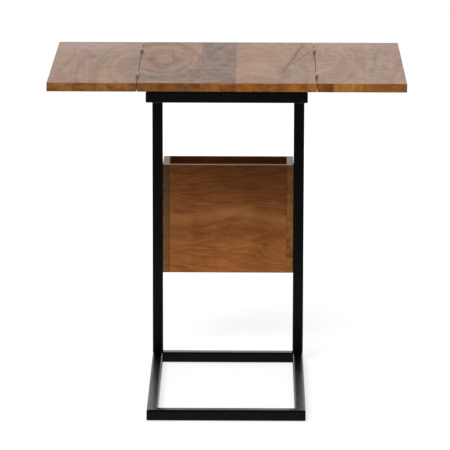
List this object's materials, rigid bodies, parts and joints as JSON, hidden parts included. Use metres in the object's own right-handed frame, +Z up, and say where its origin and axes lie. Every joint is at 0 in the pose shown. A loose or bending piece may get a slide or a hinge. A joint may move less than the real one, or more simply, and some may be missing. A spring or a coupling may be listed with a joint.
{
  "type": "magazine table",
  "caption": "Side table on a C-shaped black steel frame, with side leaves that fold over onto the middle of its wooden top and an open magazine rack between its uprights.",
  "frame": {"origin": "on the floor, under the middle of the object's bounding box with the leaves open", "axes": "+Z up, +X to the right along the open top, +Y towards the uprights and the rack, so the open side of the C faces -Y"},
  "size_m": [0.644, 0.515, 0.6317],
  "materials": {
    "black_steel": "fine satin black powder coat",
    "nylon": "matt",
    "top_wood": "satin lacquered hardwood, mid brown",
    "dark_top_wood": "satin lacquered hardwood, grey brown",
    "rack_wood": "satin lacquered hardwood, warm brown",
    "dowel_wood": "plain",
    "hinge_steel": "dull nickel",
    "screw_steel": "zinc plated"
  },
  "bodies": {
    "frame": {"base_front_rail": "black_steel", "base_back_rail": "black_steel", "base_left_rail": "black_steel", "base_right_rail": "black_steel", "left_upright": "black_steel", "right_upright": "black_steel", "top_front_rail": "black_steel", "top_back_rail": "black_steel", "top_left_rail": "black_steel", "top_right_rail": "black_steel", "floor_glides": "nylon", "centre_left_stave": "top_wood", "centre_right_stave": "top_wood", "centre_middle_stave": "dark_top_wood", "rack_left_side": "rack_wood", "rack_right_side": "rack_wood", "rack_front": "rack_wood", "rack_back": "rack_wood", "rack_bottom": "rack_wood", "rack_dowels": "dowel_wood", "left_front_fixed_plate": "hinge_steel", "left_front_hinge_pin": "hinge_steel", "left_back_fixed_plate": "hinge_steel", "left_back_hinge_pin": "hinge_steel", "right_front_fixed_plate": "hinge_steel", "right_front_hinge_pin": "hinge_steel", "right_back_fixed_plate": "hinge_steel", "right_back_hinge_pin": "hinge_steel", "top_screws": "screw_steel", "rack_screws": "screw_steel", "fixed_plate_screws": "screw_steel"},
    "left_leaf": {"left_leaf_outer_stave": "top_wood", "left_leaf_inner_stave": "top_wood", "left_front_moving_plate": "hinge_steel", "left_back_moving_plate": "hinge_steel", "left_leaf_screws": "screw_steel"},
    "right_leaf": {"right_leaf_inner_stave": "top_wood", "right_leaf_middle_stave": "top_wood", "right_leaf_outer_stave": "top_wood", "right_front_moving_plate": "hinge_steel", "right_back_moving_plate": "hinge_steel", "right_leaf_screws": "screw_steel"}
  },
  "joints": [
    {"name": "left_leaf_fold", "type": "hinge", "parent": "frame", "child": "left_leaf", "pos_m": [-0.1613, -0.035, 0.6288], "axis": [0, 1, 0], "range_deg": [0, 180]},
    {"name": "right_leaf_fold", "type": "hinge", "parent": "frame", "child": "right_leaf", "pos_m": [0.1613, -0.035, 0.6288], "axis": [0, -1, 0], "range_deg": [0, 180]}
  ]
}
